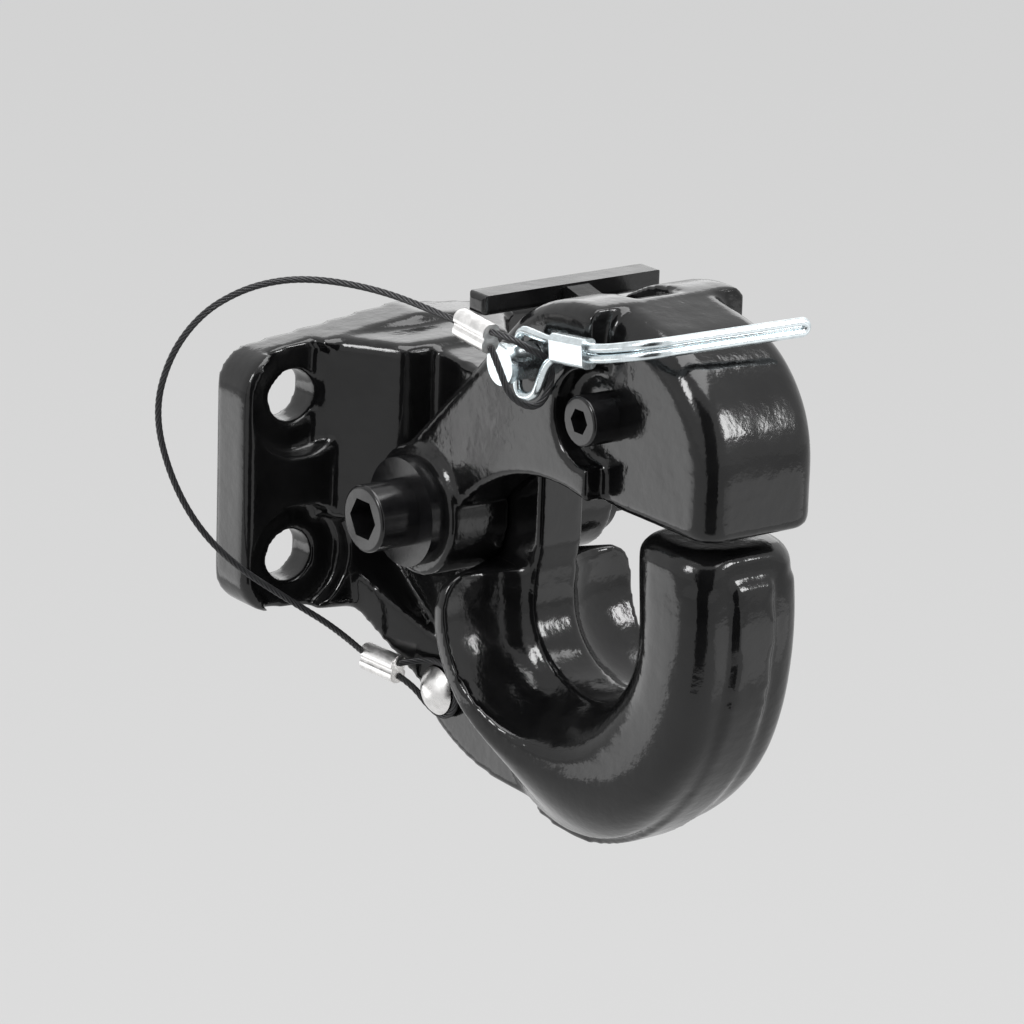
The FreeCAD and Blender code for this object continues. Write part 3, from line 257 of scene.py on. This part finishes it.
def walk(line, step):
    """Even steps along a line, each with its place, heading and two square directions."""
    lengths = [0.0]
    for a, b in zip(line, line[1:]):
        lengths.append(lengths[-1] + (b - a).length)
    count = max(8, round(lengths[-1] / step))
    stations = []
    at = 0
    for i in range(count + 1):
        want = lengths[-1] * i / count
        while at < len(line) - 2 and lengths[at + 1] < want:
            at += 1
        part = (want - lengths[at]) / max(lengths[at + 1] - lengths[at], 1e-9)
        stations.append(line[at].lerp(line[at + 1], min(part, 1.0)))
    frames = []
    side = None
    for i, place in enumerate(stations):
        heading = (stations[min(i + 1, count)] - stations[max(i - 1, 0)]).normalized()
        if side is None:
            side = heading.cross(Vector((0, 0, 1))).normalized()
        side = (side - heading * side.dot(heading)).normalized()
        frames.append((place, heading, side, heading.cross(side)))
    return frames, lengths[-1]


def stranded(name, points, width, step=0.00045, strands=6, pitch=0.0115, ring=8):
    """A rope: one core and six strands wound round it, as one mesh."""
    frames, length = walk(line_of(points), step)
    shape = bmesh.new()
    strand = width / 2 * STRAND_SHARE
    around = width / 2 - strand
    for k in range(strands + 1):
        rings = []
        for i, (place, heading, side, other) in enumerate(frames):
            turn = 2 * math.pi * (k / strands + i * length / (len(frames) - 1) / pitch)
            off = (side * math.cos(turn) + other * math.sin(turn)) * around
            if k == strands:
                off = Vector((0, 0, 0))
            reach = strand if k < strands else width / 2 - 1.4 * strand
            loop = []
            for j in range(ring):
                a = 2 * math.pi * j / ring
                outward = side * math.cos(a) + other * math.sin(a)
                loop.append(shape.verts.new(place + off + outward * reach))
            rings.append(loop)
        for first, last in zip(rings, rings[1:]):
            for j in range(ring):
                shape.faces.new((first[j], first[(j + 1) % ring], last[(j + 1) % ring], last[j]))
        shape.faces.new(rings[0][::-1])
        shape.faces.new(rings[-1])
    mesh = bpy.data.meshes.new(name)
    shape.to_mesh(mesh)
    shape.free()
    for face in mesh.polygons:
        face.use_smooth = True
    mesh.materials.append(wire)
    made = bpy.data.objects.new(name, mesh)
    bpy.context.collection.objects.link(made)
    return made, [tuple(f[0]) for f in frames], length


tether, tether_path, tether_long = stranded("tether_rope", TETHER, ROPE_WIDE)
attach(tether, "hook")
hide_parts("tether_cable")
upper_rope, _, _ = stranded("upper_loop_rope", UPPER_LOOP, ROPE_WIDE)
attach(upper_rope, "pin")
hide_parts("upper_loop")
lower_rope, _, _ = stranded("lower_loop_rope", LOWER_LOOP, ROPE_WIDE)
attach(lower_rope, "hook")
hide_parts("lower_loop")


# Castings: the solid's own shape with its inner corners run out and its surface a little
# uneven, kept inside the solid's own box. A web may be added first.
def cast_piece(name, source, body, voxel, passes, ripple, finish, fill=None):
    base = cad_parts[source]
    made = base.copy()
    made.data = base.data.copy()
    made.name = name
    for key in list(made.keys()):
        if key.startswith("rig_"):
            del made[key]
    made.parent = None
    made.matrix_world = Matrix.Identity(4)
    bpy.context.collection.objects.link(made)
    shape = bmesh.new()
    shape.from_mesh(made.data)
    bmesh.ops.remove_doubles(shape, verts=shape.verts, dist=1e-6)
    if fill is not None:
        outline, half = fill
        sides = [[shape.verts.new(V(x, y, z)) for x, z in outline] for y in (-half, half)]
        shape.faces.new(sides[0])
        shape.faces.new(sides[1][::-1])
        for i in range(len(outline)):
            j = (i + 1) % len(outline)
            shape.faces.new((sides[0][j], sides[0][i], sides[1][i], sides[1][j]))
    shape.to_mesh(made.data)
    shape.free()
    remesh = made.modifiers.new("remesh", "REMESH")
    remesh.mode = "VOXEL"
    remesh.voxel_size = voxel
    remesh.use_smooth_shade = True
    soften = made.modifiers.new("soften", "SMOOTH")
    soften.factor = 0.5
    soften.iterations = passes
    graph = bpy.context.evaluated_depsgraph_get()
    done = bpy.data.meshes.new_from_object(made.evaluated_get(graph))
    made.modifiers.clear()
    made.data = done
    low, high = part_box(source)
    normals = [vertex.normal.copy() for vertex in done.vertices]
    spots = []
    for vertex, normal in zip(done.vertices, normals):
        place = vertex.co
        lump = noise.noise(place * 90.0) * 0.6 + noise.noise(place * 260.0) * 0.4
        moved = place + normal * lump * ripple
        spots.extend(min(max(moved[i], low[i]), high[i]) for i in range(3))
    done.vertices.foreach_set("co", spots)
    done.update()
    for face in done.polygons:
        face.use_smooth = True
    done.materials.clear()
    done.materials.append(finish)
    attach(made, body)
    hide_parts(source)
    return made


# The nose of the jaw is closed on top by a web over the lever's slot, clear of the
# lever's lift and of the spring's legs.
NOSE_WEB = [(111.5, 61.5), (124.0, 53.0), (132.0, 52.0), (134.2, 66.06), (118.0, 69.5), (111.5, 67.9)]
NOSE_WEB_HALF = 8.6
RIPPLE = 0.06 * MM
cast_piece("hook_casting", "hook_body", "hook", 1.1 * MM, 5, RIPPLE, paint_cast)
cast_piece(
    "jaw_casting", "upper_jaw", "jaw", 1.0 * MM, 4, RIPPLE, paint_cast,
    fill=(NOSE_WEB, NOSE_WEB_HALF),
)


# Stage: a pale floor well below the held part, bright cards where the gloss of its flat
# faces looks, and a dark one towards the camera. The camera sees the floor alone.
def flat(name, centre, across, along, size, colour, glow, seen):
    mesh = bpy.data.meshes.new(name)
    across = Vector(across).normalized() * size[0] / 2
    along = Vector(along).normalized() * size[1] / 2
    centre = Vector(centre)
    signs = [(-1, -1), (1, -1), (1, 1), (-1, 1)]
    corners = [centre + across * a + along * b for a, b in signs]
    mesh.from_pydata([tuple(c) for c in corners], [], [(0, 1, 2, 3)])
    made, tree, shader = material(name)
    shader.inputs["Base Color"].default_value = (*colour, 1.0)
    shader.inputs["Roughness"].default_value = 0.9
    shader.inputs["Specular IOR Level"].default_value = 0.0
    shader.inputs["Emission Color"].default_value = (1.0, 1.0, 1.0, 1.0)
    shader.inputs["Emission Strength"].default_value = glow
    mesh.materials.append(made)
    made = bpy.data.objects.new(name, mesh)
    bpy.context.collection.objects.link(made)
    made.visible_camera = seen
    if not seen:
        made.visible_shadow = False
        made.visible_diffuse = False
    return made


FLOOR_DEEP = -0.42
GREY = (0.12, 0.12, 0.12)
BLACK = (0.01, 0.01, 0.01)
toward = Vector((back.x, back.y, 0.0)).normalized()
aside = Vector((-toward.y, toward.x, 0.0))
dark_spot = toward * 0.75 + Vector((0.08, 0.0, 0.15))
flat("floor", (0.0, 0.0, FLOOR_DEEP), (1, 0, 0), (0, 1, 0), (14.0, 14.0), GREY, 0.54, True)
flat("dark_card", dark_spot, aside, (0, 0, 1), (0.62, 1.1), BLACK, 0.0, False)
flat("side_card", (-1.10, -0.86, -0.40), (1, 0, 0), (0, 1, 0), (1.3, 1.1), BLACK, 1.9, False)
flat("front_card", (1.18, 0.82, -0.40), (1, 0, 0), (0, 1, 0), (1.1, 1.1), BLACK, 1.2, False)
flat("back_card", (-0.98, 0.73, 0.42), (0.6, 0.8, 0), (0, 0, 1), (1.1, 0.6), BLACK, 1.8, False)


# Lights: a broad soft one on top, and small ones at the left and in front for the bright edges.
def lamp(name, place, aim, size, power):
    data = bpy.data.lights.new(name, "AREA")
    data.shape = "RECTANGLE"
    data.size, data.size_y = size
    data.energy = power
    made = bpy.data.objects.new(name, data)
    made.location = place
    made.rotation_mode = "QUATERNION"
    made.rotation_quaternion = (Vector(aim) - Vector(place)).to_track_quat("-Z", "Y")
    bpy.context.collection.objects.link(made)
    return made


lamp("top_light", (0.25, 0.15, 1.5), (0.06, 0.0, 0.0), (1.4, 1.4), 26.0)
lamp("left_light", (0.25, -1.25, 0.9), (0.08, 0.0, 0.0), (0.35, 0.5), 9.0)
lamp("front_light", (1.35, 0.75, 0.7), (0.08, 0.0, 0.0), (0.35, 0.5), 9.0)

world = bpy.data.worlds.new("world")
world.use_nodes = True
world.node_tree.nodes["Background"].inputs["Color"].default_value = (0.80, 0.80, 0.80, 1.0)
world.node_tree.nodes["Background"].inputs["Strength"].default_value = 1.0
scene.world = world
